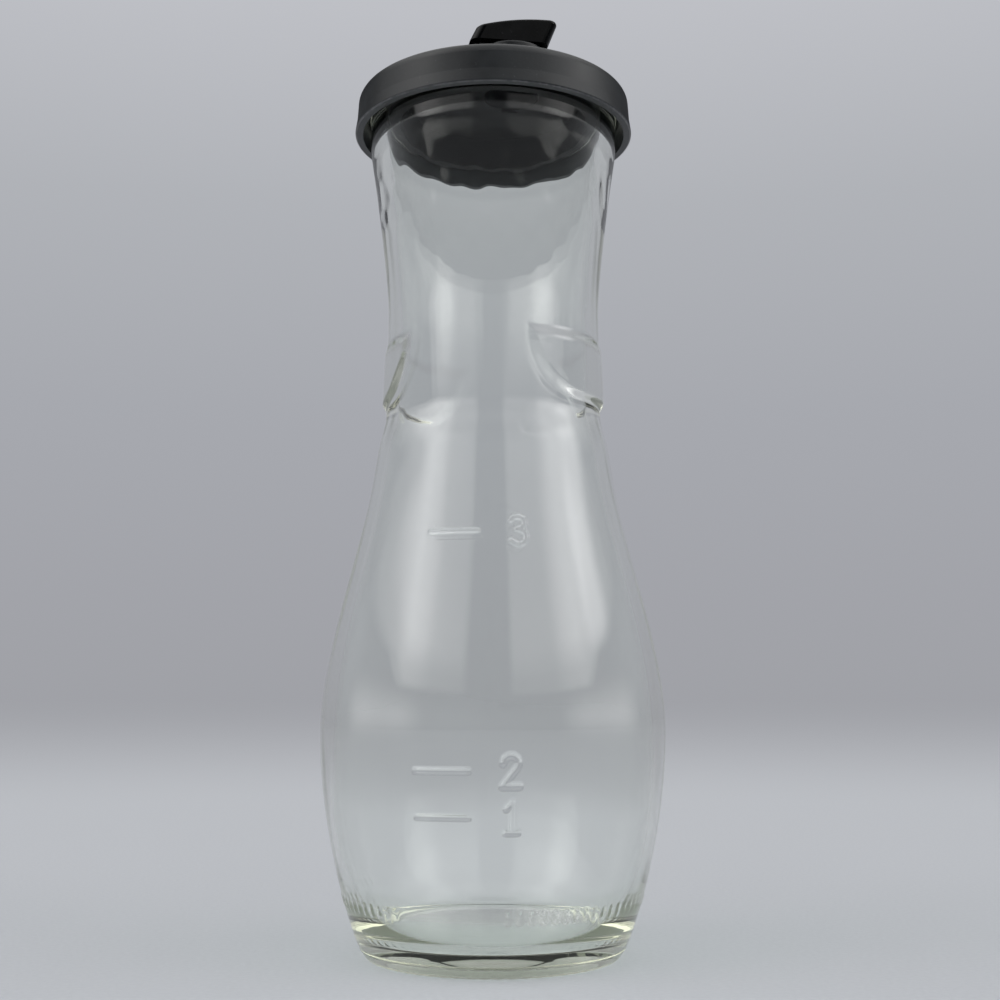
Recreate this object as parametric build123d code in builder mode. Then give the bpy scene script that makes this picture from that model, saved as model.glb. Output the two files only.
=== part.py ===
"""Salad dressing shaker bottle: a glass cruet with a press-in lid and a flip cap over its spout.

Lengths are in millimetres. The bottle stands on z = 0 with its axis on Z, and the cap pours towards +X.
"""

import os

from build123d import *

os.makedirs("parts", exist_ok=True)

# Outside of the glass: its height, and from the foot up the radii and the rises between them
glass_height = 178.6
heel_radius = 26.5
heel_chamfer = 1.1
heel_rise = 1.7
belly_radius = 35.3
belly_rise = 43.3
shoulder_radius = 24.3
waist_radius = 22.4
shoulder_turn = 6.8
waist_length = 21.6
finish_radius = 26.5
neck_rise = 37.0
finish_length = 10.6

# How far the curves run straight at their ends, as shares of their own rise and change of radius
heel_flare_share = 0.19
heel_pull_share = 0.05
belly_pull_share = 0.47
shoulder_pull_share = 0.30
shoulder_slope_share = 0.13
turn_pull_share = 0.36
neck_pull_share = 0.22
finish_pull_share = 0.35
finish_slope_share = 0.47

# Inside of the glass, its foot and its mouth
wall = 2.8
floor_edge_height = 4.8
floor_rise = 2.4
floor_inset = 6.5
floor_flare_share = 0.55
floor_pull_share = 0.62
push_up = 2.2
foot_width = 3.6
finish_wall = 3.4
mouth_length = 9.5
bead_proud = 0.8
bead_length = 4.0
lip_round = 1.1

# Two finger pads on the waist, and how far the glass is turned from the spout
pad_height = 14.7
pad_gap = 1.3
pad_span = 117.5
pad_proud_low = 1.1
pad_proud_high = 0.5
pad_corner_share = 0.925
glass_turn = -24.4

# Raised fill lines on the front: heights of the first one and of the steps to the next two
fill_start = 29.9
fill_steps = (8.3, 44.5)
mark_length = 10.2
mark_height = 0.9
mark_proud = 0.45

# Lid: a skirt round the mouth and a plug ring inside it
lid_wall = 1.8
skirt_wall = 2.4
band_height = 2.9
band_inset = 0.45
skirt_drop = 6.9
skirt_taper = 0.35
lid_edge_rise = 1.25
lid_edge_round = 2.3
lid_clearance = 0.3
dome_radius = 12.4
dome_rise = 3.25
skirt_lead = 0.7
rim_round = 0.35
plug_wall = 1.5
plug_drop = 5.1
plug_flange = 0.7
seal_gap = 1.3

# Seal ring on the plug: a thin sleeve with fins that wipe the bore
seal_sleeve = 0.6
fin_count = 3
fin_thickness = 0.6
fin_round_share = 0.33
fin_clearance = 0.05

# Spout turret on the lid, set towards the pouring side
turret_x = 4.0
turret_radius = 7.9
turret_flare = 0.5
turret_rise = 8.4
turret_wall = 1.9
turret_round = 0.6
pour_radius = 4.0
pour_chamfer = 0.4
plate_thickness = 1.8
notch_gap = 0.4

# Hinge of the flip cap, low behind the turret
hinge_setback = 2.8
hinge_rise = 3.4
knuckle_wall = 0.9
pin_radius = 1.0
pin_clearance = 0.06
arm_width = 6.4
ear_gap = 0.25
ear_thickness = 1.7

# Flip cap: a shallow hood over the turret, low at the hinge and with a thumb lip at its front
hood_length = 17.1
hood_rise = 5.05
hood_rear_fall = 2.0
hood_front_lift = 0.35
hood_rear_lean = 1.45
hood_front_lean = 2.3
hood_width = 13.2
hood_corner = 1.8
hood_wall = 1.3
thumb_wall = 2.6
hood_gap = 0.4
hood_round = 0.7
arm_lean = 0.8
arm_thickness = 2.0
boss_wall = 1.8

# Soft stopper under the cap, with a flange on the turret and a nub in the pour hole
stopper_lap = 1.3
stopper_thickness = 0.9
nub_length = 1.7
nub_clearance = 0.45
nub_taper = 1.3
stem_radius = 1.5
stem_length = 1.9

# Radii that the sizes above lead to
foot_radius = heel_radius - heel_chamfer
floor_radius = heel_radius - floor_inset
mouth_radius = finish_radius - finish_wall
skirt_inner = finish_radius + bead_proud + lid_clearance
lid_radius = skirt_inner + skirt_wall
turret_bore = turret_radius - turret_wall
knuckle_radius = pin_radius + knuckle_wall
boss_radius = stem_radius + boss_wall
stopper_radius = pour_radius + stopper_lap

# Heights that they lead to, and how far a cutter runs past what it cuts
belly_height = heel_rise + belly_rise
finish_height = glass_height - finish_length
waist_top = finish_height - neck_rise
waist_bottom = waist_top - waist_length
shoulder_height = waist_bottom - shoulder_turn
dome_height = glass_height + lid_edge_rise + dome_rise
turret_top = dome_height + turret_rise
overrun = finish_length


def between(start, end, share):
    """The value that lies the given share of the way from start to end."""
    return start + (end - start) * share


def side_curves(inset, end_radius, end_height):
    """The side of the glass from belly to mouth, moved inwards by inset; returns its last point."""
    belly = (belly_radius - inset, belly_height)
    shoulder = (shoulder_radius - inset, shoulder_height)
    waist = (waist_radius - inset, waist_bottom)
    throat = (waist_radius - inset, waist_top)
    end = (end_radius, end_height)
    lean = between(shoulder[0], belly[0], shoulder_slope_share)
    lean_height = between(shoulder_height, belly_height, shoulder_pull_share)
    slope = (lean - shoulder[0]) / (shoulder_height - lean_height)
    turn_pull = shoulder_turn * turn_pull_share
    Bezier(
        belly,
        (belly[0], between(belly_height, shoulder_height, shoulder_pull_share)),
        (lean, lean_height),
        shoulder,
    )
    Bezier(
        shoulder,
        (shoulder[0] - slope * turn_pull, shoulder_height + turn_pull),
        (waist[0], waist_bottom - turn_pull),
        waist,
    )
    Line(waist, throat)
    flare = between(end_radius, throat[0], finish_slope_share)
    Bezier(
        throat,
        (throat[0], between(waist_top, end_height, neck_pull_share)),
        (flare, between(end_height, waist_top, finish_pull_share)),
        end,
    )
    return end


def heel_curve(inset):
    """The outside of the glass from the heel to the belly, moved inwards by inset."""
    flare = between(heel_radius, belly_radius, heel_flare_share)
    Bezier(
        (heel_radius - inset, heel_rise),
        (flare - inset, between(heel_rise, belly_height, heel_pull_share)),
        (belly_radius - inset, between(belly_height, heel_rise, belly_pull_share)),
        (belly_radius - inset, belly_height),
    )


# Finger pad: a raised band round part of the waist, centred on X, with large lower corners
pad_bottom = waist_bottom + pad_gap
pad_top = pad_bottom + pad_height
pad_corner = pad_height * pad_corner_share
pad_end = Plane.YZ.rotated((0, 0, pad_span / 2))
with BuildPart() as finger_pad:
    with BuildSketch(Plane.XZ):
        Polygon(
            (waist_radius - wall / 2, pad_bottom),
            (waist_radius + pad_proud_low, pad_bottom),
            (waist_radius + pad_proud_high, pad_top),
            (waist_radius - wall / 2, pad_top),
            align=None,
        )
    revolve(axis=Axis.Z, revolution_arc=pad_span / 2)
    with BuildSketch(pad_end.offset(waist_radius / 2)):
        with Locations((0, pad_bottom)):
            Rectangle(pad_corner, pad_corner, align=(Align.MAX, Align.MIN))
        with Locations((-pad_corner, pad_bottom + pad_corner)):
            Circle(pad_corner, mode=Mode.SUBTRACT)
    extrude(amount=waist_radius, mode=Mode.SUBTRACT)
    mirror(about=Plane.XZ)

# Fill lines: a thin raised skin that follows the glass, kept only where the three bars are
fill_heights = [fill_start]
for step in fill_steps:
    fill_heights.append(fill_heights[-1] + step)

with BuildPart() as fill_bars:
    with Locations([(0, -belly_radius, height) for height in fill_heights]):
        Box(mark_length, belly_radius, mark_height)

with BuildPart() as fill_lines:
    with BuildSketch(Plane.XZ):
        with BuildLine():
            heel_curve(-mark_proud)
            outer_end = side_curves(-mark_proud, finish_radius + mark_proud, finish_height)
            inner_end = (finish_radius - wall / 2, finish_height)
            Line(outer_end, inner_end)
            side_curves(wall / 2, *inner_end)
            heel_curve(wall / 2)
            Line((heel_radius - wall / 2, heel_rise), (heel_radius + mark_proud, heel_rise))
        make_face()
    revolve(axis=Axis.Z)
    add(fill_bars.part, mode=Mode.INTERSECT)

# Glass bottle
floor_height = floor_edge_height + floor_rise
foot_inner = foot_radius - foot_width
inner_belly = belly_radius - wall
bead_radius = finish_radius + bead_proud
bead_bottom = glass_height - bead_length
mouth_bottom = glass_height - mouth_length
with BuildPart() as bottle:
    with BuildSketch(Plane.XZ):
        with BuildLine():
            RadiusArc((0, push_up), (foot_inner, 0), (foot_inner**2 + push_up**2) / (2 * push_up))
            Polyline((foot_inner, 0), (foot_radius, 0), (heel_radius, heel_rise))
            heel_curve(0)
            side_curves(0, finish_radius, finish_height)
            Polyline(
                (finish_radius, finish_height),
                (finish_radius, bead_bottom),
                (bead_radius, bead_bottom + bead_proud),
                (bead_radius, glass_height),
                (mouth_radius, glass_height),
                (mouth_radius, mouth_bottom),
            )
            side_curves(wall, mouth_radius, mouth_bottom)
            Bezier(
                (floor_radius, floor_edge_height),
                (between(floor_radius, inner_belly, floor_flare_share), floor_edge_height),
                (inner_belly, between(belly_height, floor_edge_height, floor_pull_share)),
                (inner_belly, belly_height),
            )
            RadiusArc(
                (0, floor_height),
                (floor_radius, floor_edge_height),
                (floor_radius**2 + floor_rise**2) / (2 * floor_rise),
            )
            Line((0, floor_height), (0, push_up))
        make_face()
    revolve(axis=Axis.Z)
    lip_edges = bottle.edges().filter_by_position(Axis.Z, glass_height, glass_height)
    fillet(lip_edges, lip_round)
    with PolarLocations(0, 2, start_angle=glass_turn):
        add(finger_pad.part)
    add(fill_lines.part, rotation=(0, 0, glass_turn))
bottle.part.label = "bottle"
export_step(bottle.part, "parts/bottle.step")

# Lid: skirt, roof, plug ring, spout turret and hinge ears in one moulding
skirt_bottom = glass_height - skirt_drop
band_top = skirt_bottom + band_height
upper_radius = lid_radius - band_inset
lid_shoulder = upper_radius - skirt_taper
edge_height = glass_height + lid_edge_rise
plug_radius = mouth_radius - seal_gap
plug_inner = plug_radius - plug_wall
sleeve_radius = plug_radius + seal_sleeve
plug_bottom = glass_height - plug_drop
dome_share = (plug_inner - dome_radius) / (lid_shoulder - dome_radius)
roof_low = dome_height - lid_wall - dome_rise * dome_share**2
flange_top = plug_bottom + plug_flange
plate_bottom = turret_top - plate_thickness
hinge_x = turret_x - turret_radius - hinge_setback
hinge_height = dome_height + hinge_rise
hood_left = hinge_x + arm_lean
notch_x = hood_left + arm_thickness + notch_gap
notch_width = arm_width + 2 * ear_gap

with BuildPart() as hinge_ears:
    with BuildSketch(Plane.XZ.offset(notch_width / 2)):
        with Locations((hinge_x, hinge_height)):
            Circle(knuckle_radius)
            Rectangle(2 * knuckle_radius, hinge_rise + lid_wall / 2, align=(Align.CENTER, Align.MAX))
            Circle(pin_radius + pin_clearance, mode=Mode.SUBTRACT)
    extrude(amount=ear_thickness)
    mirror(about=Plane.XZ)

with BuildPart() as turret:
    with Locations((turret_x, 0, dome_height - lid_wall / 2)):
        Cone(
            turret_radius + turret_flare,
            turret_radius,
            turret_rise + lid_wall / 2,
            align=(Align.CENTER, Align.CENTER, Align.MIN),
        )
    fillet(turret.edges().group_by(Axis.Z)[-1], turret_round)
    with Locations((notch_x, 0, dome_height)):
        Box(
            turret_radius,
            notch_width,
            turret_rise + overrun,
            align=(Align.MAX, Align.CENTER, Align.MIN),
            mode=Mode.SUBTRACT,
        )

with BuildPart() as lid:
    with BuildSketch(Plane.XZ):
        with BuildLine():
            Line((skirt_inner + skirt_lead, skirt_bottom), (lid_radius, skirt_bottom))
            Line((lid_radius, skirt_bottom), (upper_radius, band_top))
            Line((upper_radius, band_top), (lid_shoulder, edge_height))
            TangentArc((dome_radius, dome_height), (lid_shoulder, edge_height), tangent=(1, 0))
            Polyline(
                (dome_radius, dome_height),
                (0, dome_height),
                (0, dome_height - lid_wall),
                (dome_radius, dome_height - lid_wall),
            )
            TangentArc((dome_radius, dome_height - lid_wall), (plug_inner, roof_low), tangent=(1, 0))
            Polyline(
                (plug_inner, roof_low),
                (plug_inner, plug_bottom),
                (sleeve_radius, plug_bottom),
                (sleeve_radius, flange_top),
                (plug_radius, flange_top),
                (plug_radius, glass_height),
                (skirt_inner, glass_height),
                (skirt_inner, band_top),
                (skirt_inner + skirt_lead, skirt_bottom),
            )
        lid_face = make_face()
        fillet(lid_face.vertices().sort_by_distance((lid_shoulder, edge_height))[0], lid_edge_round)
    revolve(axis=Axis.Z)
    rim_edge = lid.edges().group_by(Axis.Z)[0].sort_by(SortBy.RADIUS)[-1]
    fillet(rim_edge, rim_round)
    add(turret.part)
    add(hinge_ears.part)
    with BuildSketch(Plane.XY.offset(plate_bottom)):
        with Locations((turret_x, 0)):
            Circle(turret_bore)
    extrude(amount=-(turret_rise + overrun), mode=Mode.SUBTRACT)
    with BuildSketch(Plane.XY.offset(turret_top)):
        with Locations((turret_x, 0)):
            Circle(pour_radius)
    extrude(amount=-plate_thickness, mode=Mode.SUBTRACT)
    top_circles = lid.edges().filter_by(GeomType.CIRCLE).filter_by_position(Axis.Z, turret_top, turret_top)
    chamfer(top_circles.sort_by(SortBy.RADIUS)[0], pour_chamfer)
lid.part.label = "lid"
export_step(lid.part, "parts/lid.step")

# Seal ring: a sleeve on the plug, with evenly spaced fins that wipe the bore of the mouth
fin_radius = mouth_radius - fin_clearance
fin_step = (glass_height - flange_top) / fin_count
with BuildPart() as seal_ring:
    with BuildSketch(Plane.XZ):
        with Locations((plug_radius, flange_top)):
            Rectangle(seal_sleeve, glass_height - flange_top, align=(Align.MIN, Align.MIN))
        with Locations([(plug_radius, flange_top + fin_step * (fin + 0.5)) for fin in range(fin_count)]):
            Rectangle(fin_radius - plug_radius, fin_thickness, align=(Align.MIN, Align.CENTER))
    revolve(axis=Axis.Z)
    fin_edges = seal_ring.edges().filter_by(GeomType.CIRCLE).group_by(SortBy.RADIUS)[-1]
    fillet(fin_edges, fin_thickness * fin_round_share)
seal_ring.part.label = "seal_ring"
export_step(seal_ring.part, "parts/seal_ring.step")

# Flip cap: a leaning hood, an arm down to the hinge knuckle, and pins that turn in the lid's ears
hood_bottom = turret_top + hood_gap
hood_right = hood_left + hood_length
hood_rear = hood_left + hood_rear_lean
hood_front = hood_right + hood_front_lean
hood_top = hood_bottom + hood_rise
hood_rear_top = hood_top - hood_rear_fall
hood_front_top = hood_top + hood_front_lift
stopper_top = turret_top + stopper_thickness
with BuildPart() as hood:
    with BuildSketch(Plane.XZ):
        with BuildLine():
            Polyline(
                (hood_rear, hood_rear_top),
                (hood_left, hood_bottom),
                (hood_right, hood_bottom),
                (hood_front, hood_front_top),
            )
            ThreePointArc(
                (hood_rear, hood_rear_top),
                ((hood_rear + hood_front) / 2, hood_top),
                (hood_front, hood_front_top),
            )
        make_face()
    extrude(amount=hood_width / 2, both=True)
    for end in (0, -1):
        end_face = hood.faces().sort_by(Axis.X)[end]
        fillet(end_face.edges().filter_by(Axis.Y, reverse=True), hood_corner)
    fillet(hood.faces().sort_by(Axis.Z)[-1].edges(), hood_round)
    with BuildSketch(Plane.XZ):
        Polygon(
            (hood_left + hood_wall, hood_bottom - overrun),
            (hood_left + hood_wall, hood_bottom),
            (hood_rear + hood_wall, hood_rear_top - hood_wall),
            (hood_front - thumb_wall, hood_front_top - hood_wall),
            (hood_right - hood_wall, hood_bottom),
            (hood_right - hood_wall, hood_bottom - overrun),
            align=None,
        )
    extrude(amount=hood_width / 2 - hood_wall, both=True, mode=Mode.SUBTRACT)

with BuildPart() as flip_cap:
    add(hood.part)
    with BuildSketch(Plane.XY.offset(stopper_top)):
        with Locations((turret_x, 0)):
            Circle(boss_radius)
    extrude(amount=hood_top - hood_wall - stopper_top)
    with BuildSketch(Plane.XY.offset(stopper_top)):
        with Locations((turret_x, 0)):
            Circle(stem_radius + pin_clearance)
    extrude(amount=stem_length + pin_clearance, mode=Mode.SUBTRACT)
    with BuildSketch(Plane.XZ):
        Polygon(
            (hinge_x - knuckle_radius, hinge_height),
            (hood_left, hood_bottom),
            (hood_left + hood_wall / 2, hood_bottom + hood_wall),
            (hood_left + arm_thickness, hood_bottom),
            (hinge_x + knuckle_radius, hinge_height),
            align=None,
        )
        with Locations((hinge_x, hinge_height)):
            Circle(knuckle_radius)
    extrude(amount=arm_width / 2, both=True)
    with BuildSketch(Plane.XZ):
        with Locations((hinge_x, hinge_height)):
            Circle(pin_radius)
    extrude(amount=notch_width / 2 + ear_thickness, both=True)
flip_cap.part.label = "flip_cap"
export_step(flip_cap.part, "parts/flip_cap.step")

# Stopper: soft flange on the turret, tapered nub in the pour hole, stem up in the cap's boss
nub_radius = pour_radius - nub_clearance
with BuildPart() as stopper:
    with Locations((turret_x, 0, turret_top)):
        Cylinder(stopper_radius, stopper_thickness, align=(Align.CENTER, Align.CENTER, Align.MIN))
        Cone(nub_radius - nub_taper, nub_radius, nub_length, align=(Align.CENTER, Align.CENTER, Align.MAX))
    with Locations((turret_x, 0, stopper_top)):
        Cylinder(stem_radius, stem_length, align=(Align.CENTER, Align.CENTER, Align.MIN))
stopper.part.label = "stopper"
export_step(stopper.part, "parts/stopper.step")
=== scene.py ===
"""Looks of the salad dressing shaker bottle: fine glass, plastics, rubber, floor, light and camera.

The frame is in metres. The glass is drawn in millimetres, with the CAD's sizes, and scaled once. Turns round
the glass are in degrees from the middle of its fill lines.
"""

import math

import bpy
import numpy as np
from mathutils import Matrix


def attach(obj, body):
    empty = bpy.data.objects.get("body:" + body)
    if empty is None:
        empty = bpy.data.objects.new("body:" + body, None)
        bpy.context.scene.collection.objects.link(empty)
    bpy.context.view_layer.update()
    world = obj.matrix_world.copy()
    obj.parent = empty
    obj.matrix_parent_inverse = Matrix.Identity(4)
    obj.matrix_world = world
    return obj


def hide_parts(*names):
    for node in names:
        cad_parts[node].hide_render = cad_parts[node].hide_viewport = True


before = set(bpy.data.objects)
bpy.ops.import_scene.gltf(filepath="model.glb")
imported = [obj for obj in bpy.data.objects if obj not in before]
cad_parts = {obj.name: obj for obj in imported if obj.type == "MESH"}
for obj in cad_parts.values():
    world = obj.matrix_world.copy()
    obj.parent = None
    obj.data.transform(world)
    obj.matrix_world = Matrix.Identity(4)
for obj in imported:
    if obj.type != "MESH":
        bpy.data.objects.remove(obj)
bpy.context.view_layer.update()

MM = 0.001

# Outside of the glass, as in the CAD
glass_height = 178.6
heel_radius, heel_chamfer, heel_rise = 26.5, 1.1, 1.7
belly_radius, belly_rise = 35.3, 43.3
shoulder_radius, shoulder_turn = 24.3, 6.8
waist_radius, waist_length = 22.4, 21.6
finish_radius, neck_rise, finish_length = 26.5, 37.0, 10.6
heel_flare_share, heel_pull_share, belly_pull_share = 0.19, 0.05, 0.47
shoulder_pull_share, shoulder_slope_share, turn_pull_share = 0.30, 0.13, 0.36
neck_pull_share, finish_pull_share, finish_slope_share = 0.22, 0.35, 0.47

# Inside of the glass, its foot and its mouth, as in the CAD but for a fuller hollow at the floor's edge
wall = 2.8
floor_edge_height, floor_rise, floor_inset = 4.8, 2.4, 5.0
floor_flare_share, floor_pull_share = 0.46, 0.62
push_up, foot_width = 2.2, 3.6
finish_wall, mouth_length = 3.4, 9.5
bead_proud, bead_length, lip_round = 0.8, 4.0, 1.1

# Finger pads and fill lines, as in the CAD but for lower and softer pad edges
pad_height, pad_gap, pad_span = 14.7, 1.3, 117.5
pad_proud_low, pad_proud_high, pad_corner_share = 0.9, 0.5, 0.925
pad_soft, pad_soft_end, pad_soft_shift = 1.9, 2.9, 0.3
glass_turn = -24.4
fill_heights = (29.9, 38.2, 82.7)
mark_length, mark_height, mark_proud = 10.2, 0.9, 0.45

# Plain numerals beside the fill lines, as lines round their own middle
numeral_turns = (21.5, 21.0, 25.5)
numeral_stroke, numeral_proud = 0.42, 0.38
numeral_reach, numeral_rise = 3.0, 4.0
NUMERALS = (
    [[(-1.0, 1.6), (0.0, 2.7), (0.0, -2.7)], [(-1.1, -2.7), (1.1, -2.7)]],
    [
        [(-1.4, 1.4), (-1.2, 2.2), (-0.5, 2.7), (0.5, 2.7), (1.2, 2.2), (1.4, 1.4), (1.1, 0.6)],
        [(1.1, 0.6), (-1.5, -2.7), (1.6, -2.7)],
    ],
    [
        [(-1.4, 2.0), (-0.8, 2.6), (0.2, 2.7), (1.1, 2.3), (1.3, 1.4), (0.8, 0.6), (-0.3, 0.2)],
        [(-0.3, 0.2), (0.9, 0.0), (1.5, -0.8), (1.4, -1.9), (0.7, -2.6), (-0.4, -2.7), (-1.5, -2.0)],
    ],
)

# Ticks round the heel, in a zone of turns at both sides, and fine ridges under the foot
tick_height, tick_rise, tick_width, tick_proud, tick_step = 11.6, 1.3, 0.35, 0.12, 4.2
tick_start, tick_end = 18.0, 112.0
ridge_count, ridge_depth, ridge_height, ridge_fade = 60, 0.14, 0.3, (0.8, 0.6)

# Softness of pressed glass: its edges and corners, where the foot is led in, and the turn at the shoulder
edge_soft = 0.5
foot_rounds = (0.4, 0.9, 0.5)
foot_lead, foot_lead_rise, foot_gap = 0.5, 0.06, 0.6
bead_round = 0.3
shoulder_soft, shoulder_soft_reach = 2.4, 10.0

# How many points of the heel's curve give way to the foot's last rounded corner
heel_skip = 8

# Waves of pressed glass: how deep they are, and how far they take to fade in at the bottom and the top
outer_wave, inner_wave, flute_wave = 0.045, 0.12, 0.018
outer_fade, inner_fade = (12.0, 8.0), (9.0, 6.0)
outer_seed, inner_seed, throat_seed = 1.0, 4.0, 2.0
throat_wave, throat_middle, throat_reach = 0.065, 156.0, 11.0

# The waves' parts: how many go round the axis, their rise in millimetres, their shift and their weight
SLOW_WAVES = ((3, 9.0, 1.0, 1), (5, -6.1, 2.1, 1), (2, 14.0, -0.7, 1), (8, 11.0, 1.3, 1))
FLUTES = ((13, 30.0, 1.0, 1), (19, -26.0, 0.0, 1), (31, 22.0, -1.0, 1))
THROAT_WAVES = ((11, 2.4, 1.0, 1), (17, -1.9, 1.7, 1), (6, 3.4, -0.9, 0.7), (29, 1.5, 2.3, 0.7))

# Heights and radii that follow from the sizes
belly_height = heel_rise + belly_rise
finish_height = glass_height - finish_length
waist_top = finish_height - neck_rise
waist_bottom = waist_top - waist_length
shoulder_height = waist_bottom - shoulder_turn
mouth_bottom = glass_height - mouth_length
mouth_radius = finish_radius - finish_wall
foot_radius = heel_radius - heel_chamfer
foot_inner = foot_radius - foot_width
floor_radius = heel_radius - floor_inset
pad_bottom = waist_bottom + pad_gap
pad_top = pad_bottom + pad_height
pad_corner = pad_height * pad_corner_share

# Columns of the glass's mesh as zones of (start, end, step) in degrees, fine at marks and at pad ends
COLUMN_ZONES = (
    (-12.6, 12.6, 0.6),
    (12.6, 16.8, 1.2),
    (16.8, 31.2, 0.36),
    (31.2, 68, 0.6),
    (68, 112, 1.5),
    (112, 149, 0.9),
    (149, 211, 1.5),
    (211, 248, 0.9),
    (248, 292, 1.5),
    (292, 331, 0.6),
    (331, 347.4, 1.3),
)

# Rows of the mesh: their steps in each kind of zone, and how far fine zones reach below and above a feature
plain_step, heel_step, lower_step, throat_step = 1.2, 0.7, 1.0, 0.7
tick_row_step, mark_step, pad_step = 0.33, 0.26, 0.3
tick_margins, pad_margins = (2.8, 1.8), (0.9, 1.0)
dome_rows, floor_rows, floor_edge_rows = 15, 16, 44


def between(start, end, share):
    """The value that lies the given share of the way from start to end."""
    return start + (end - start) * share


def bezier(*points, count=300):
    """Points of a cubic curve, from its four handles."""
    t = np.linspace(0, 1, count)[:, None]
    a, b, c, d = np.array(points, float)
    return (1 - t) ** 3 * a + 3 * (1 - t) ** 2 * t * b + 3 * (1 - t) * t**2 * c + t**3 * d


def smooth(x):
    """A soft step from 0 at x = 0 to 1 at x = 1."""
    x = np.clip(x, 0, 1)
    return x * x * (3 - 2 * x)


def spaced(*zones):
    """Values through zones of (start, end, step), without the last end."""
    values = []
    for start, end, step in zones:
        count = max(1, round(abs(end - start) / step))
        values += list(np.linspace(start, end, count, endpoint=False))
    return np.array(values)


def rounded(points, radii, steps=5):
    """A polyline with its inner corners rounded; radii gives one radius for each inner corner."""
    points = [np.array(p, float) for p in points]
    out = [points[0]]
    for before, corner, after, radius in zip(points, points[1:], points[2:], radii):
        back, on = before - corner, after - corner
        start = corner + back / np.linalg.norm(back) * radius
        end = corner + on / np.linalg.norm(on) * radius
        for t in np.linspace(0, 1, steps):
            out.append((1 - t) ** 2 * start + 2 * (1 - t) * t * corner + t**2 * end)
    out.append(points[-1])
    return np.array(out)


def dome(reach, rise, r):
    """Height over its rim of a round dome, at the distance r from its axis."""
    ball = (reach**2 + rise**2) / (2 * rise)
    return rise - ball + math.sqrt(ball**2 - r**2)


def side(inset, end_radius, end_height):
    """The side of the glass from belly to mouth, moved inwards by inset."""
    belly = (belly_radius - inset, belly_height)
    shoulder = (shoulder_radius - inset, shoulder_height)
    waist = (waist_radius - inset, waist_bottom)
    throat = (waist_radius - inset, waist_top)
    lean = between(shoulder[0], belly[0], shoulder_slope_share)
    lean_height = between(shoulder_height, belly_height, shoulder_pull_share)
    slope = (lean - shoulder[0]) / (shoulder_height - lean_height)
    pull = shoulder_turn * turn_pull_share
    rise = between(belly_height, shoulder_height, shoulder_pull_share)
    flare = between(end_radius, throat[0], finish_slope_share)
    return np.vstack([
        bezier(belly, (belly[0], rise), (lean, lean_height), shoulder),
        bezier(
            shoulder,
            (shoulder[0] - slope * pull, shoulder_height + pull),
            (waist[0], waist_bottom - pull),
            waist,
        ),
        bezier(
            throat,
            (throat[0], between(waist_top, end_height, neck_pull_share)),
            (flare, between(end_height, waist_top, finish_pull_share)),
            (end_radius, end_height),
        ),
    ])


def heel():
    """The outside of the glass from the heel to the belly."""
    flare = between(heel_radius, belly_radius, heel_flare_share)
    return bezier(
        (heel_radius, heel_rise),
        (flare, between(heel_rise, belly_height, heel_pull_share)),
        (belly_radius, between(belly_height, heel_rise, belly_pull_share)),
        (belly_radius, belly_height),
    )


def floor_edge():
    """The inside of the glass from the edge of its floor to the belly."""
    reach = belly_radius - wall
    return bezier(
        (floor_radius, floor_edge_height),
        (between(floor_radius, reach, floor_flare_share), floor_edge_height),
        (reach, between(belly_height, floor_edge_height, floor_pull_share)),
        (reach, belly_height),
        count=floor_edge_rows,
    )


def softened(profile):
    """The profile with its turn at the shoulder smoothed by a bell curve."""
    steps = np.linspace(-3 * shoulder_soft, 3 * shoulder_soft, 41)
    weights = np.exp(-0.5 * (steps / shoulder_soft) ** 2)
    radius, z = profile.T
    even = np.interp(z[:, None] + steps, z, radius) @ weights / weights.sum()
    middle = between(shoulder_height, waist_bottom, 0.5)
    near = smooth(2 - np.abs(z - middle) / shoulder_soft_reach)
    return np.column_stack([between(radius, even, near), z])


def pads(radius, z, turn):
    """How far the finger pads stand proud, with their large lower corners."""
    end = radius * np.sin(np.radians(pad_span / 2 - np.abs(np.abs(turn) - 90)))
    low = z - pad_bottom
    inside = np.minimum(np.minimum(end, low), pad_top - z)
    near_corner = (end < pad_corner) & (low < pad_corner)
    corner = pad_corner - np.hypot(pad_corner - end, pad_corner - low)
    inside = np.where(near_corner, np.minimum(inside, corner), inside)
    soft = between(pad_soft_end, pad_soft, smooth((end - low) / pad_height + pad_soft_shift))
    proud = between(pad_proud_low, pad_proud_high, np.clip(low / pad_height, 0, 1))
    return proud * smooth(inside / soft)


def stroke_distance(u, v, line):
    """Distance of the points (u, v) from a polyline."""
    best = np.full(u.shape, np.inf)
    for (ax, ay), (bx, by) in zip(line, line[1:]):
        dx, dy = bx - ax, by - ay
        t = np.clip(((u - ax) * dx + (v - ay) * dy) / (dx * dx + dy * dy), 0, 1)
        best = np.minimum(best, np.hypot(u - ax - t * dx, v - ay - t * dy))
    return best


def fill_line(radius, v, turn):
    """How far a fill line stands proud, at the height v over its middle."""
    u = radius * np.radians(turn)
    across = smooth((mark_length / 2 + edge_soft / 2 - np.abs(u)) / edge_soft)
    along = smooth((mark_height / 2 + edge_soft / 3 - np.abs(v)) / edge_soft)
    return mark_proud * across * along


def numeral(radius, v, turn, lines):
    """How far a numeral of some lines stands proud, at the height v over its middle."""
    u = radius * np.radians(turn)
    near = (np.abs(u) < numeral_reach) & (np.abs(v) < numeral_rise)
    away = np.minimum.reduce([stroke_distance(u, v, line) for line in lines])
    return near * numeral_proud * smooth((numeral_stroke + edge_soft / 2 - away) / edge_soft)


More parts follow.
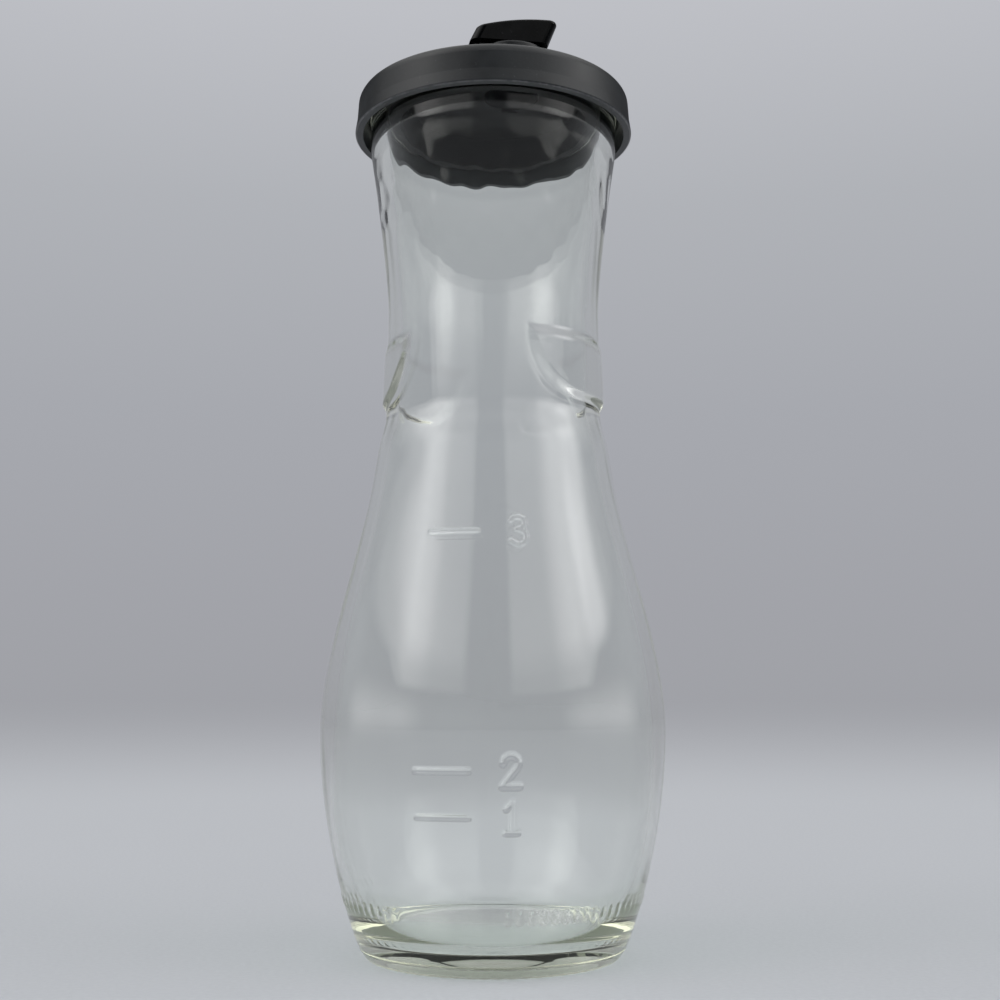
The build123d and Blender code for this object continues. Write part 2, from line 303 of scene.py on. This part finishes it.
def heel_ticks(radius, z, turn):
    """How far the ticks round the heel stand proud, away from the front and the back."""
    phase = np.abs((turn / tick_step + 0.5) % 1 - 0.5) * tick_step
    ticks = smooth((tick_width + edge_soft / 2 - radius * np.radians(phase)) / edge_soft)
    ticks = ticks * smooth((tick_rise - np.abs(z - tick_height)) / edge_soft)
    off = np.abs(turn)
    return tick_proud * ticks * (off > tick_start) * (off < tick_end)


def relief(radius, z, turn):
    """How far the outside stands proud of its profile."""
    height = pads(radius, z, turn) + heel_ticks(radius, z, turn)
    for level, numeral_turn, lines in zip(fill_heights, numeral_turns, NUMERALS):
        height = height + fill_line(radius, z - level, turn)
        height = np.maximum(height, numeral(radius, z - level, turn - numeral_turn, lines))
    return height


def ripple(z, turn, seed, parts):
    """The sum of a wave's parts, between -1 and 1."""
    total = 0.0
    for count, rise, shift, weight in parts:
        total = total + weight * np.sin(count * np.radians(turn) + z / rise + shift * seed)
    return total / sum(weight for *_, weight in parts)


def waves(z, turn, seed, amount):
    """The slow unevenness of pressed glass, which only takes glass away."""
    slow = ripple(z, turn, seed, SLOW_WAVES) - 1
    flutes = ripple(z, turn, seed, FLUTES) - 1
    return amount / 2 * slow + flute_wave * amount / inner_wave * flutes


def throat_waves(z, turn, seed):
    """The quicker ripples in the glass under the mouth."""
    near = smooth(1 - np.abs(z - throat_middle) / throat_reach)
    return throat_wave * near * ripple(z, turn, seed, THROAT_WAVES)


def foot_rings(heel_end):
    """Rings under the foot and round its edges, up to a point of the heel."""
    for r in np.linspace(0, foot_inner - foot_gap, dome_rows)[1:]:
        yield r, dome(foot_inner, push_up, r), "under"
    corners = [
        (foot_inner - foot_lead, foot_lead_rise),
        (foot_inner, 0),
        (foot_radius, 0),
        (heel_radius, heel_rise),
        heel_end,
    ]
    for r, z in rounded(corners, foot_rounds)[1:-1]:
        yield r, z, "foot"


def outside_rings(profile, start):
    """Rings up the outside from a height to the mouth's finish, closer together at marks and pads."""
    tick_zone = (tick_height - tick_margins[0], tick_height + tick_margins[1])
    lower_marks = (fill_heights[0] - numeral_rise, fill_heights[1] + numeral_rise)
    upper_mark = (fill_heights[2] - numeral_rise, fill_heights[2] + numeral_rise)
    pad_zone = (pad_bottom - pad_margins[0], pad_top + pad_margins[1])
    heights = spaced(
        (start, tick_zone[0], heel_step),
        (*tick_zone, tick_row_step),
        (tick_zone[1], lower_marks[0], lower_step),
        (*lower_marks, mark_step),
        (lower_marks[1], upper_mark[0], plain_step),
        (*upper_mark, mark_step),
        (upper_mark[1], pad_zone[0], plain_step),
        (*pad_zone, pad_step),
        (pad_zone[1], finish_height, plain_step),
    )
    for z in heights:
        yield np.interp(z, profile[:, 1], profile[:, 0]), z, "outside"


def finish_rings():
    """Rings over the mouth's bead and lip, down to the inside."""
    bead = finish_radius + bead_proud
    corners = [
        (finish_radius, finish_height),
        (finish_radius, glass_height - bead_length),
        (bead, glass_height - bead_length + bead_proud),
        (bead, glass_height),
        (mouth_radius, glass_height),
        (mouth_radius, mouth_bottom),
    ]
    for r, z in rounded(corners, (bead_round, bead_round, lip_round, lip_round))[:-1]:
        yield r, z, "finish"


def inside_rings(profile):
    """Rings down the inside and over the floor."""
    for z in spaced((mouth_bottom, waist_top, throat_step), (waist_top, belly_height, plain_step)):
        yield np.interp(z, profile[:, 1], profile[:, 0]), z, "inside"
    for r, z in floor_edge()[::-1]:
        yield r, z, "inside"
    for r in np.linspace(floor_radius, 0, floor_rows)[1:-1]:
        yield r, floor_edge_height + dome(floor_radius, floor_rise, r), "floor"


def shaped(r, z, kind, turns):
    """The radii and heights of one ring of the glass, with its relief and its unevenness."""
    radius, height = np.full(turns.shape, r), np.full(turns.shape, z)
    if kind == "outside":
        fade = smooth(z / outer_fade[0]) * smooth((finish_height - z) / outer_fade[1])
        radius = radius + relief(radius, height, turns) + fade * waves(z, turns, outer_seed, outer_wave)
    elif kind == "inside":
        fade = smooth((z - floor_edge_height) / inner_fade[0]) * smooth((mouth_bottom - z) / inner_fade[1])
        uneven = waves(z, turns, inner_seed, inner_wave) - throat_waves(z, turns, throat_seed)
        radius = radius - fade * uneven
    elif kind == "foot" and z < ridge_height and r > foot_inner:
        ridge = 0.5 - 0.5 * np.cos(ridge_count * np.radians(turns))
        fade = smooth((foot_radius - r) / ridge_fade[0]) * smooth((r - foot_inner) / ridge_fade[1])
        height = height + ridge_depth * ridge * fade
    return radius, height


def glass_mesh():
    """One closed grid round the axis: under the foot, up the outside, over the lip, down the inside."""
    turns = (spaced(*COLUMN_ZONES) + 180) % 360 - 180
    angles = np.radians(turns + glass_turn - 90)
    outside = softened(np.vstack([heel(), side(0, finish_radius, finish_height)]))
    inside = softened(side(wall, mouth_radius, mouth_bottom))
    heel_end = tuple(outside[heel_skip])
    rings = [
        *foot_rings(heel_end),
        *outside_rings(outside, heel_end[1]),
        *finish_rings(),
        *inside_rings(inside),
    ]

    verts = [(0.0, 0.0, push_up)]
    for r, z, kind in rings:
        radius, height = shaped(r, z, kind, turns)
        verts += list(zip(radius * np.cos(angles), radius * np.sin(angles), height))
    verts.append((0.0, 0.0, floor_edge_height + floor_rise))

    n, rows = len(turns), len(rings)
    i, j = np.meshgrid(np.arange(rows - 1), np.arange(n), indexing="ij")
    here = 1 + i * n + j
    right = 1 + i * n + (j + 1) % n
    quads = np.stack([here, right, right + n, here + n], axis=-1).reshape(-1, 4)
    last = 1 + rows * n
    fans = [(0, 1 + (a + 1) % n, 1 + a) for a in range(n)]
    fans += [(last, last - n + a, last - n + (a + 1) % n) for a in range(n)]
    mesh = new_mesh("glass_bottle", (np.array(verts) * MM).tolist(), quads.tolist() + fans)
    mesh.validate()
    mesh.shade_smooth()
    return mesh


class Nodes:
    """A short way to write a node tree."""

    def __init__(self, tree):
        self.tree = tree
        tree.nodes.clear()

    def add(self, kind, **inputs):
        """Adds a node; settings start with set_, and all others are sockets, by name or as i0, i1."""
        node = self.tree.nodes.new(kind)
        for name, value in inputs.items():
            if name.startswith("set_"):
                setattr(node, name[4:], value)
        for name, value in inputs.items():
            if name.startswith("set_"):
                continue
            key = int(name[1:]) if name[0] == "i" and name[1:].isdigit() else name.replace("_", " ")
            socket = node.inputs[key]
            if isinstance(value, bpy.types.NodeSocket):
                self.tree.links.new(value, socket)
            else:
                socket.default_value = value
        return node

    def object_place(self):
        """The place on the object, in metres."""
        return self.add("ShaderNodeTexCoord").outputs["Object"]

    def ramp(self, value, stops, interpolation="LINEAR"):
        """A colour ramp; stops are (place, colour or grey)."""
        node = self.add("ShaderNodeValToRGB", Fac=value)
        ramp = node.color_ramp
        ramp.interpolation = interpolation
        while len(ramp.elements) < len(stops):
            ramp.elements.new(0.5)
        for element, (place, colour) in zip(ramp.elements, stops):
            element.position = place
            if not isinstance(colour, tuple):
                colour = (colour, colour, colour)
            element.color = (*colour, 1)
        return node.outputs["Color"]

    def noise(self, vector, scale, detail=2.0, roughness=0.5):
        """A noise texture's value at a vector."""
        settings = {"Vector": vector, "Scale": scale, "Detail": detail, "Roughness": roughness}
        return self.add("ShaderNodeTexNoise", **settings).outputs["Fac"]

    def math(self, operation, a, b=0.0):
        """One operation on two numbers."""
        return self.add("ShaderNodeMath", set_operation=operation, i0=a, i1=b).outputs[0]

    def times(self, *values):
        """The product of several numbers."""
        product = values[0]
        for value in values[1:]:
            product = self.math("MULTIPLY", product, value)
        return product

    def dot(self, vector, axis):
        """How far a vector reaches along an axis."""
        node = self.add("ShaderNodeVectorMath", set_operation="DOT_PRODUCT", i0=vector, i1=axis)
        return node.outputs["Value"]

    def length(self, vector):
        """The length of a vector."""
        return self.add("ShaderNodeVectorMath", set_operation="LENGTH", i0=vector).outputs["Value"]

    def mix(self, fac, a, b):
        """A mix of two colours."""
        node = self.add("ShaderNodeMix", set_data_type="RGBA")
        for index, value in ((0, fac), (6, a), (7, b)):
            if isinstance(value, bpy.types.NodeSocket):
                self.tree.links.new(value, node.inputs[index])
            elif index == 0:
                node.inputs[index].default_value = value
            else:
                node.inputs[index].default_value = (*value, 1)
        return node.outputs[2]

    def bump(self, height, strength, distance):
        """A bumped normal."""
        node = self.add("ShaderNodeBump", Strength=strength, Distance=distance, Height=height)
        return node.outputs[0]

    def shader(self, kind, **inputs):
        """A shader node's output."""
        return self.add(kind, **inputs).outputs[0]


def new_material(name):
    """A material with an empty node tree."""
    material = bpy.data.materials.new(name)
    material.use_nodes = True
    return material, Nodes(material.node_tree)


# Light that has been mirrored inside the glass this often goes straight on, and what is left of it then
SPENT_AFTER = 3.5
SPENT_LIGHT = (0.88, 0.89, 0.86, 1)


def glass_material():
    """Clear glass, green where it is thick, with a little unevenness and faint smudges."""
    material, n = new_material("clear_glass")
    place = n.object_place()
    glass = n.shader(
        "ShaderNodeBsdfPrincipled",
        Base_Color=(0.981, 0.995, 0.989, 1),
        Roughness=n.ramp(n.noise(place, 38.0, 4.0, 0.6), [(0.45, 0.0), (0.75, 0.035)]),
        IOR=1.5,
        Transmission_Weight=1.0,
        Normal=n.bump(n.noise(place, 42.0, 1.0), 0.05, 0.0008),
    )
    path = n.add("ShaderNodeLightPath")
    onward = n.shader("ShaderNodeBsdfTransparent", Color=SPENT_LIGHT)
    spent = n.math("GREATER_THAN", path.outputs["Glossy Depth"], SPENT_AFTER)
    body = n.shader("ShaderNodeMixShader", Fac=spent, i1=glass, i2=onward)
    open_way = n.shader("ShaderNodeBsdfTransparent", Color=(0.9, 0.93, 0.92, 1))
    surface = n.shader("ShaderNodeMixShader", Fac=path.outputs["Is Shadow Ray"], i1=body, i2=open_way)
    tint = n.shader("ShaderNodeVolumeAbsorption", Color=(0.33, 0.35, 0.02, 1), Density=10.0)
    n.add("ShaderNodeOutputMaterial", Surface=surface, Volume=tint)
    return material


# The lid's inside, which is painted darker as shade, within a radius and under a height
LID_INSIDE_RADIUS, LID_INSIDE_HEIGHT = 23.8 * MM, 181.5 * MM

# The painted highlight along the lid's lower rim: its height and least radius, and how the highlight ends,
# over a span of height
SKIRT_DROP = 6.9
RIM_HEIGHT, RIM_RADIUS, RIM_SPAN = (glass_height - SKIRT_DROP) * MM, 29.6 * MM, 10 * MM
RIM_HIGHLIGHT_STOPS = [(0.0, 1.0), (0.016, 0.8), (0.026, 0.0)]


def lid_material():
    """Satin dark grey plastic: fine grain, faint dust, a painted highlight along the lower rim, and painted
    shade inside, which is also duller.
    """
    material, n = new_material("lid_plastic")
    place = n.object_place()
    parts = n.add("ShaderNodeSeparateXYZ", Vector=place)
    height = parts.outputs["Z"]
    level = n.add("ShaderNodeCombineXYZ", X=parts.outputs["X"], Y=parts.outputs["Y"])
    reach = n.length(level.outputs[0])

    cloud = n.noise(place, 70.0, 5.0, 0.6)
    colour = n.ramp(cloud, [(0.35, (0.015, 0.0168, 0.0185)), (0.70, (0.027, 0.030, 0.0325))])
    dust = n.ramp(n.noise(place, 1500.0, 1.0), [(0.70, 0.0), (0.80, 1.0)])
    colour = n.mix(n.times(dust, 0.12), colour, (0.16, 0.16, 0.17))
    # Painted shade: the lid's inside, under its roof, is given a darker colour than the outside; it is also
    # made rougher
    below = n.math("LESS_THAN", height, LID_INSIDE_HEIGHT)
    inner = n.times(n.math("LESS_THAN", reach, LID_INSIDE_RADIUS), below)
    colour = n.mix(inner, colour, (0.006, 0.0065, 0.007))
    # Painted highlight: a pale, ragged line along the lid's lower outer rim, where light catches its edge
    rim = n.ramp(n.math("DIVIDE", n.math("SUBTRACT", height, RIM_HEIGHT), RIM_SPAN), RIM_HIGHLIGHT_STOPS)
    rim_highlight_breakup = n.ramp(n.noise(place, 520.0, 3.0), [(0.35, 0.5), (0.6, 1.0)])
    rim = n.times(rim, n.math("GREATER_THAN", reach, RIM_RADIUS), rim_highlight_breakup)
    colour = n.mix(rim, colour, (0.13, 0.13, 0.135))

    rough = n.ramp(cloud, [(0.3, 0.28), (0.7, 0.44)])
    shader = n.shader(
        "ShaderNodeBsdfPrincipled",
        Base_Color=colour,
        Roughness=n.math("ADD", rough, n.times(inner, 0.3)),
        IOR=1.5,
        Specular_IOR_Level=0.28,
        Normal=n.bump(n.noise(place, 2400.0, 2.0), 0.12, 0.0001),
    )
    n.add("ShaderNodeOutputMaterial", Surface=shader)
    return material


def cap_material():
    """Glossy black plastic with slight flow waves and specks of dust."""
    material, n = new_material("cap_plastic")
    place = n.object_place()
    flow = n.noise(place, 260.0, 2.0)
    colour = n.ramp(flow, [(0.3, (0.0015, 0.0017, 0.0020)), (0.75, (0.004, 0.0043, 0.0048))])
    dust = n.ramp(n.noise(place, 1700.0, 1.0), [(0.72, 0.0), (0.80, 1.0)])
    shader = n.shader(
        "ShaderNodeBsdfPrincipled",
        Base_Color=n.mix(n.times(dust, 0.25), colour, (0.10, 0.10, 0.11)),
        Roughness=n.ramp(n.noise(place, 420.0, 4.0), [(0.3, 0.12), (0.7, 0.22)]),
        IOR=1.5,
        Specular_IOR_Level=0.1,
        Normal=n.bump(flow, 0.12, 0.0004),
    )
    n.add("ShaderNodeOutputMaterial", Surface=shader)
    return material


def rubber_material():
    """Matt black rubber with a fine grain and paler wear."""
    material, n = new_material("seal_rubber")
    place = n.object_place()
    cloud = n.noise(place, 160.0, 4.0)
    shader = n.shader(
        "ShaderNodeBsdfPrincipled",
        Base_Color=n.ramp(cloud, [(0.3, (0.014, 0.014, 0.015)), (0.75, (0.032, 0.033, 0.034))]),
        Roughness=n.ramp(cloud, [(0.3, 0.55), (0.7, 0.75)]),
        IOR=1.5,
        Normal=n.bump(n.noise(place, 3000.0, 2.0), 0.3, 0.0001),
    )
    n.add("ShaderNodeOutputMaterial", Surface=shader)
    return material


# The camera, as the photograph's: its turn round the bottle, its place in millimetres and its pitch
camera_turn = math.radians(9.0)
camera_offset, camera_distance, camera_height = 1.45, 290.4, 51.6
camera_pitch, camera_lens, sensor_width = math.radians(98.0), 50.19, 36.0
ACROSS = (math.cos(camera_turn), -math.sin(camera_turn), 0.0)
TOWARD = (-math.sin(camera_turn), -math.cos(camera_turn), 0.0)

# Colours and levels of the light
FAR_GREY = (0.352, 0.358, 0.385)
SOFT_LIGHT = (0.06, 0.065, 0.075)
LAMP_COLOUR = (1.0, 0.995, 0.985, 1)
BOX_LEVEL, TOP_LEVEL, STRIP_LEVEL, SPOT_LEVEL = 3.1, 0.8, 1.9, 3.0

# Two low strips of light beside the table: turns from the camera in degrees, and sizes in metres
STRIP_TURNS = {"strip_left": -76, "strip_right": 76}
STRIP_AWAY, STRIP_WIDTH, STRIP_HEIGHT, STRIP_GAP = 0.6, 0.84, 0.21, 0.001

# The backdrop's grey by height, as the upward part of a direction plus 0.5
SKY_STOPS = [
    (0.50, FAR_GREY),
    (0.57, (0.362, 0.368, 0.398)),
    (0.70, (0.385, 0.395, 0.428)),
    (0.84, (0.435, 0.448, 0.478)),
    (0.96, (0.515, 0.525, 0.560)),
]

# Softboxes with weaker wings at both sides, by turn, where 0.5 is at the camera, and by upward part
BOX_TURN_STOPS = [
    (0.150, 0.0), (0.220, 0.30), (0.270, 0.62), (0.315, 1.0), (0.352, 0.85), (0.376, 0.44),
    (0.440, 0.30), (0.454, 0.0), (0.530, 0.0), (0.544, 0.28), (0.622, 0.28), (0.654, 0.68),
    (0.685, 0.84), (0.735, 0.52), (0.790, 0.28), (0.860, 0.0),
]
BOX_UP_STOPS = [
    (0.212, 0.0), (0.240, 0.42), (0.30, 0.50), (0.39, 1.0),
    (0.46, 1.0), (0.56, 0.85), (0.74, 0.9), (0.90, 0.2),
]

# Where the wings hang higher, by turn, and by how much
WING_STOPS = [(0.20, 1.0), (0.285, 0.8), (0.315, 0.0), (0.695, 0.0), (0.725, 0.8), (0.82, 1.0)]
WING_LIFT = 0.12

# A weak light overhead, and a small one high on the right that only gloss shows
TOP_STOPS = [(0.60, 0.0), (0.82, 1.0)]
SPOT_TURN_STOPS = [(0.685, 0.0), (0.72, 1.0), (0.74, 1.0), (0.785, 0.0)]
SPOT_UP_STOPS = [(0.30, 0.0), (0.38, 1.0), (0.48, 1.0), (0.60, 0.0)]

# How much of the backdrop gloss shows: the room round the camera and the room above are dark
ROOM_TURN_STOPS = [(0.19, 1.0), (0.24, 0.5), (0.30, 0.1), (0.70, 0.1), (0.76, 0.6), (0.80, 1.0)]
ROOM_UP_STOPS = [(0.28, 1.0), (0.40, 0.10)]

# The floor: rings of its mesh in metres, and how its own colour gives way to the backdrop's
FLOOR_RINGS = (0.05, 0.1, 0.2, 0.4, 0.8, 1.6, 4.0, 12.0)
FLOOR_CORNERS = 64
FLOOR_FADE, FLOOR_FADE_START = 0.5, 0.29


def floor_material():
    """Pale tabletop near the bottle, going over into the backdrop's grey with distance."""
    material, n = new_material("floor")
    place = n.object_place()
    near = n.math("DIVIDE", FLOOR_FADE, n.math("ADD", n.length(place), FLOOR_FADE_START))
    fade = n.ramp(near, [(0.0, 1.0), (0.72, 0.0)], "EASE")
    speck = n.noise(place, 900.0, 3.0)
    pale = n.ramp(speck, [(0.3, (0.495, 0.512, 0.545)), (0.7, (0.525, 0.542, 0.575))])
    table = n.shader("ShaderNodeBsdfPrincipled", Base_Color=pale, Roughness=0.75, IOR=1.4)
    glow = n.shader("ShaderNodeEmission", Color=(*FAR_GREY, 1), Strength=1.0)
    both = n.shader("ShaderNodeMixShader", Fac=fade, i1=table, i2=glow)
    n.add("ShaderNodeOutputMaterial", Surface=both)
    return material


def strip_material():
    """The glow of a light strip, soft at its edges and seen in mirrorings alone."""
    material, n = new_material("strip")
    along = n.add("ShaderNodeSeparateXYZ", Vector=n.add("ShaderNodeTexCoord").outputs["Generated"])
    sideways = n.ramp(along.outputs["X"], [(0.0, 0.0), (0.35, 1.0), (0.65, 1.0), (1.0, 0.0)], "EASE")
    upward = n.ramp(along.outputs["Z"], [(0.0, 0.05), (0.45, 1.0), (1.0, 0.0)], "EASE")
    through = n.add("ShaderNodeLightPath").outputs["Is Transmission Ray"]
    level = n.times(sideways, upward, n.math("SUBTRACT", 1.0, through), STRIP_LEVEL)
    glow = n.shader("ShaderNodeEmission", Color=LAMP_COLOUR, Strength=level)
    clear = n.shader("ShaderNodeBsdfTransparent", Color=(1.0, 1.0, 1.0, 1))
    both = n.shader("ShaderNodeAddShader", i0=glow, i1=clear)
    n.add("ShaderNodeOutputMaterial", Surface=both)
    return material


def new_object(name, mesh, material):
    """An object in the scene, with one material."""
    mesh.materials.append(material)
    thing = bpy.data.objects.new(name, mesh)
    bpy.context.scene.collection.objects.link(thing)
    return thing


def new_mesh(name, verts, faces):
    """A mesh of corners and faces."""
    mesh = bpy.data.meshes.new(name)
    mesh.from_pydata(verts, [], faces)
    return mesh


def add_floor():
    """A round tabletop that reaches far past the picture."""
    verts, faces = [(0, 0, 0)], []
    for radius in FLOOR_RINGS:
        for corner in range(FLOOR_CORNERS):
            angle = 2 * math.pi * corner / FLOOR_CORNERS
            verts.append((radius * math.cos(angle), radius * math.sin(angle), 0))
    for a in range(FLOOR_CORNERS):
        b = (a + 1) % FLOOR_CORNERS
        faces.append((0, 1 + a, 1 + b))
        for ring in range(len(FLOOR_RINGS) - 1):
            low = 1 + ring * FLOOR_CORNERS
            high = low + FLOOR_CORNERS
            faces.append((low + a, high + a, high + b, low + b))
    new_object("floor", new_mesh("floor", verts, faces), floor_material())


def add_strips():
    """The two low strips of light, out of the picture."""
    material = strip_material()
    half = STRIP_WIDTH / 2
    corners = [(-half, 0, 0), (half, 0, 0), (half, 0, STRIP_HEIGHT), (-half, 0, STRIP_HEIGHT)]
    for name, turn in STRIP_TURNS.items():
        card = new_object(name, new_mesh(name, corners, [(0, 1, 2, 3)]), material)
        angle = math.radians(turn) - camera_turn
        card.location = (STRIP_AWAY * math.sin(angle), -STRIP_AWAY * math.cos(angle), STRIP_GAP)
        card.rotation_euler = (0, 0, angle)
        card.visible_camera = card.visible_diffuse = card.visible_shadow = False


def set_world():
    """The studio: a grey backdrop, softboxes at the sides, and a dark room round the camera."""
    world = bpy.data.worlds.new("studio")
    bpy.context.scene.world = world
    world.use_nodes = True
    n = Nodes(world.node_tree)
    direction = n.add("ShaderNodeTexCoord").outputs["Generated"]
    up = n.add("ShaderNodeSeparateXYZ", Vector=direction).outputs["Z"]
    turn = n.math("ARCTAN2", n.dot(direction, ACROSS), n.dot(direction, TOWARD))
    turn = n.math("ADD", n.times(turn, 0.5 / math.pi), 0.5)
    path = n.add("ShaderNodeLightPath").outputs
    camera, through = path["Is Camera Ray"], path["Is Transmission Ray"]
    gloss = n.math("SUBTRACT", path["Is Glossy Ray"], through)

    lifted = n.math("SUBTRACT", up, n.times(n.ramp(turn, WING_STOPS), WING_LIFT))
    boxes = n.times(n.ramp(turn, BOX_TURN_STOPS), n.ramp(lifted, BOX_UP_STOPS), BOX_LEVEL)
    top = n.times(n.ramp(up, TOP_STOPS, "EASE"), TOP_LEVEL)
    spot = n.times(n.ramp(turn, SPOT_TURN_STOPS, "EASE"), n.ramp(up, SPOT_UP_STOPS, "EASE"))
    spot = n.times(spot, gloss, SPOT_LEVEL)
    lit = n.math("ADD", n.math("ADD", boxes, top), spot)
    lit = n.times(lit, n.math("SUBTRACT", 1.0, camera))

    sky = n.ramp(n.math("ADD", up, 0.5), SKY_STOPS)
    room = n.times(n.ramp(turn, ROOM_TURN_STOPS), n.ramp(up, ROOM_UP_STOPS))
    plain = n.mix(gloss, SOFT_LIGHT, n.mix(room, (0.0, 0.0, 0.0), sky))
    plain = n.mix(n.math("MAXIMUM", camera, through), plain, sky)

    base = n.shader("ShaderNodeBackground", Color=plain, Strength=1.0)
    glow = n.shader("ShaderNodeBackground", Color=LAMP_COLOUR, Strength=lit)
    both = n.shader("ShaderNodeAddShader", i0=base, i1=glow)
    n.add("ShaderNodeOutputWorld", Surface=both)


def add_camera():
    """The photograph's camera."""
    camera = bpy.data.cameras.new("camera")
    camera.sensor_width = sensor_width
    camera.lens = camera_lens
    camera.clip_start = 0.01
    camera.clip_end = 50.0
    holder = bpy.data.objects.new("camera", camera)
    level = np.array(ACROSS) * camera_offset + np.array(TOWARD) * camera_distance
    holder.location = (level[0] * MM, level[1] * MM, camera_height * MM)
    holder.rotation_euler = (camera_pitch, 0, -camera_turn)
    bpy.context.scene.collection.objects.link(holder)
    bpy.context.scene.camera = holder


def add_glass():
    """The fine glass, which takes the CAD bottle's place."""
    glass = new_object("glass_bottle", glass_mesh(), glass_material())
    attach(glass, "glass")
    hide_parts("bottle")


def dress_cad():
    """Gives the CAD's other pieces their materials."""
    rubber = rubber_material()
    finishes = {"lid": lid_material(), "flip_cap": cap_material(), "seal_ring": rubber, "stopper": rubber}
    for name, material in finishes.items():
        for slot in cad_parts[name].material_slots:
            slot.material = material


add_glass()
dress_cad()
add_floor()
add_strips()
set_world()
add_camera()
bpy.context.scene.view_settings.view_transform = "Standard"
